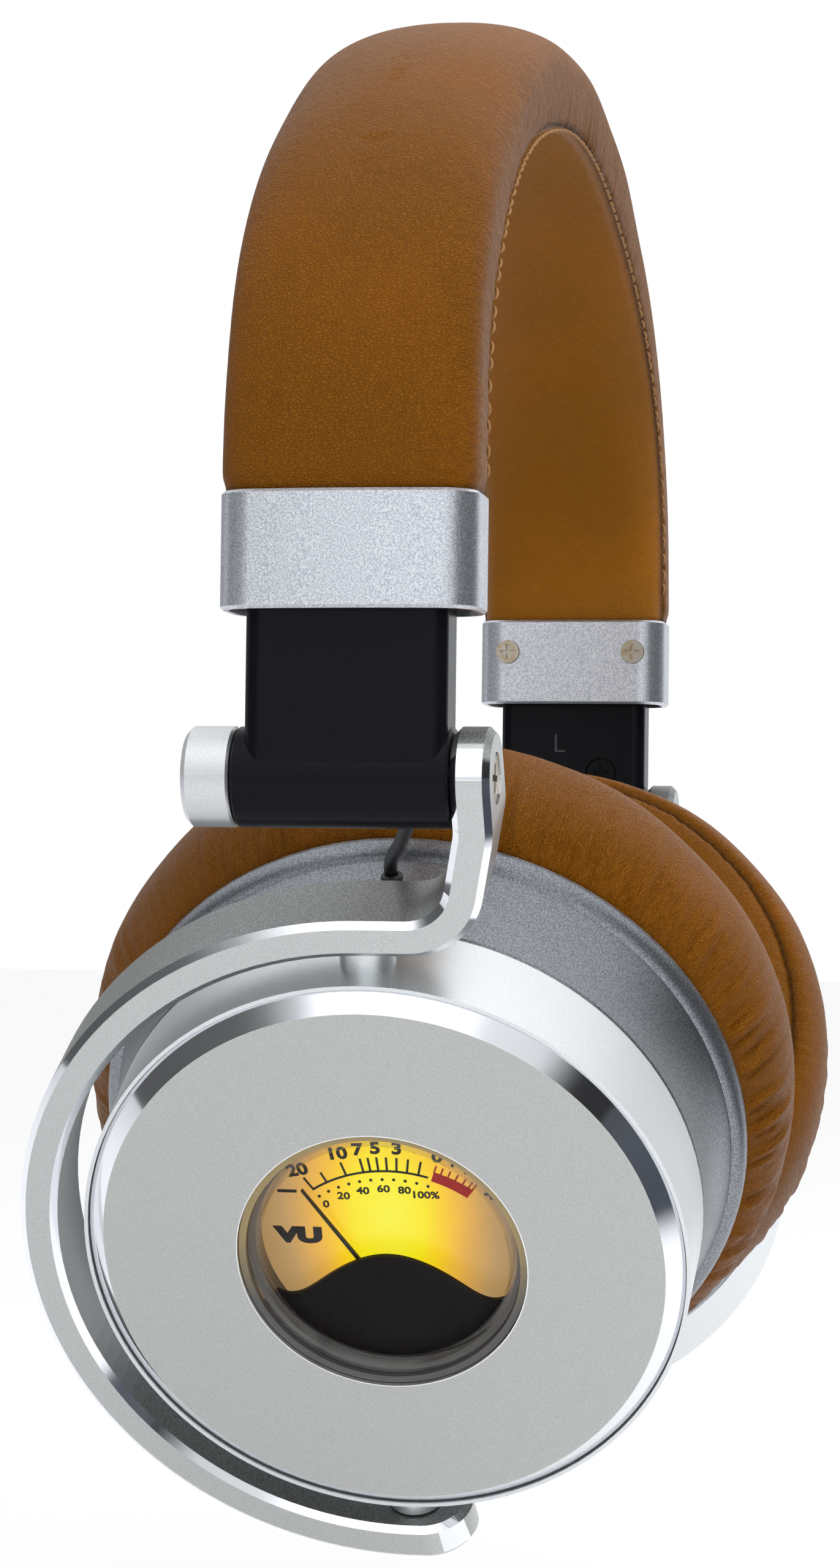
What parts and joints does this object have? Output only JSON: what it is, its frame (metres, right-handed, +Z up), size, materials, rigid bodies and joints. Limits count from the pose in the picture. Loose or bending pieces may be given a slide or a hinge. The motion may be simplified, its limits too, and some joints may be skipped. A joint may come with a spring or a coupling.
{
  "type": "over-ear headphones",
  "caption": "Folding over-ear headphones: leather headband, sliding arms, side yokes, padded ear cups with a lit needle meter in each outer face.",
  "frame": {"origin": "crown seat, the middle of the headband pad's underside at the top of the arch", "axes": "+Z up, X across the head with the wearer's right at -X, the wearer faces -Y"},
  "size_m": [0.1912, 0.0892, 0.1937],
  "materials": {
    "tan_leather": "fine-grained tan leather, satin",
    "pad_leather": "fine-grained tan leather, satin",
    "spring_steel": "brushed",
    "screw_steel": "nickel plated",
    "silver": "bead-blasted, anodised silver",
    "black_gloss": "gloss black",
    "black_plastic": "moulded, matte black",
    "yoke_metal": "satin silver with polished chamfers",
    "housing_metal": "bead-blasted, anodised silver",
    "disc_metal": "satin face, polished bevel",
    "lens_clear": "clear",
    "bezel_gloss": "gloss black",
    "dial_glow": "backlit amber",
    "cloth": "black acoustic cloth",
    "cable_rubber": "satin black",
    "board_green": "solder-masked board",
    "battery_wrap": "foil pouch",
    "socket_metal": "satin"
  },
  "bodies": {
    "headband": {"headband_spring": "spring_steel", "headband_cover": "tan_leather", "headband_pad": "pad_leather", "collar_screws": "screw_steel", "right_collar": "silver", "right_slider_guide": "black_plastic", "left_collar": "silver", "left_slider_guide": "black_plastic"},
    "right_slider": {"right_slider_arm": "black_gloss", "right_slider_screw": "screw_steel"},
    "right_yoke": {"right_yoke": "yoke_metal", "right_hinge_pin": "screw_steel", "right_hinge_cap": "silver", "right_hinge_screw": "screw_steel", "right_pivot_pins": "screw_steel"},
    "right_cup": {"right_cup_housing": "housing_metal", "right_face_disc": "disc_metal", "right_meter_lens": "lens_clear", "right_meter_bezel": "bezel_gloss", "right_meter_dial": "dial_glow", "right_meter_mask": "black_plastic", "right_meter_movement": "black_plastic", "right_baffle": "black_plastic", "right_driver": "black_plastic", "right_driver_cloth": "cloth", "right_cushion_ring": "black_plastic", "right_cushion": "tan_leather", "right_housing_screws": "screw_steel", "right_link_cable": "cable_rubber", "right_grommet": "cable_rubber", "circuit_board": "board_green", "charge_port": "socket_metal"},
    "right_needle": {"right_meter_needle": "black_plastic"},
    "left_slider": {"left_slider_arm": "black_gloss", "left_slider_screw": "screw_steel"},
    "left_yoke": {"left_yoke": "yoke_metal", "left_hinge_pin": "screw_steel", "left_hinge_cap": "silver", "left_hinge_screw": "screw_steel", "left_pivot_pins": "screw_steel"},
    "left_cup": {"left_cup_housing": "housing_metal", "left_face_disc": "disc_metal", "left_meter_lens": "lens_clear", "left_meter_bezel": "bezel_gloss", "left_meter_dial": "dial_glow", "left_meter_mask": "black_plastic", "left_meter_movement": "black_plastic", "left_baffle": "black_plastic", "left_driver": "black_plastic", "left_driver_cloth": "cloth", "left_cushion_ring": "black_plastic", "left_cushion": "tan_leather", "left_housing_screws": "screw_steel", "left_link_cable": "cable_rubber", "left_grommet": "cable_rubber", "left_battery": "battery_wrap", "left_audio_socket": "socket_metal"},
    "left_needle": {"left_meter_needle": "black_plastic"},
    "switch": {"noise_switch": "black_gloss"}
  },
  "joints": [
    {"name": "right_slide", "type": "slide", "parent": "headband", "child": "right_slider", "axis": [0, 0, -1], "range_m": [-0.011, 0.012]},
    {"name": "right_fold", "type": "hinge", "parent": "right_slider", "child": "right_yoke", "pos_m": [-0.0886, 0, -0.0883], "axis": [0, 1, 0], "range_deg": [0, 36]},
    {"name": "right_swivel", "type": "hinge", "parent": "right_yoke", "child": "right_cup", "pos_m": [-0.06104, 0, -0.14013], "axis": [-0.4695, 0, 0.8829], "range_deg": [-12, 12]},
    {"name": "right_needle_turn", "type": "hinge", "parent": "right_cup", "child": "right_needle", "pos_m": [-0.05832, 0, -0.14887], "axis": [0.8829, 0, 0.4695], "range_deg": [0, 66]},
    {"name": "left_slide", "type": "slide", "parent": "headband", "child": "left_slider", "axis": [0, 0, -1], "range_m": [-0.011, 0.012]},
    {"name": "left_fold", "type": "hinge", "parent": "left_slider", "child": "left_yoke", "pos_m": [0.0886, 0, -0.0883], "axis": [0, -1, 0], "range_deg": [0, 36]},
    {"name": "left_swivel", "type": "hinge", "parent": "left_yoke", "child": "left_cup", "pos_m": [0.06104, 0, -0.14013], "axis": [-0.4695, 0, -0.8829], "range_deg": [-12, 12]},
    {"name": "left_needle_turn", "type": "hinge", "parent": "left_cup", "child": "left_needle", "pos_m": [0.05832, 0, -0.14887], "axis": [-0.8829, 0, 0.4695], "range_deg": [0, 66]},
    {"name": "switch_slide", "type": "slide", "parent": "right_cup", "child": "switch", "axis": [-0.3202, -0.7314, 0.6022], "range_m": [0, 0.003]}
  ]
}
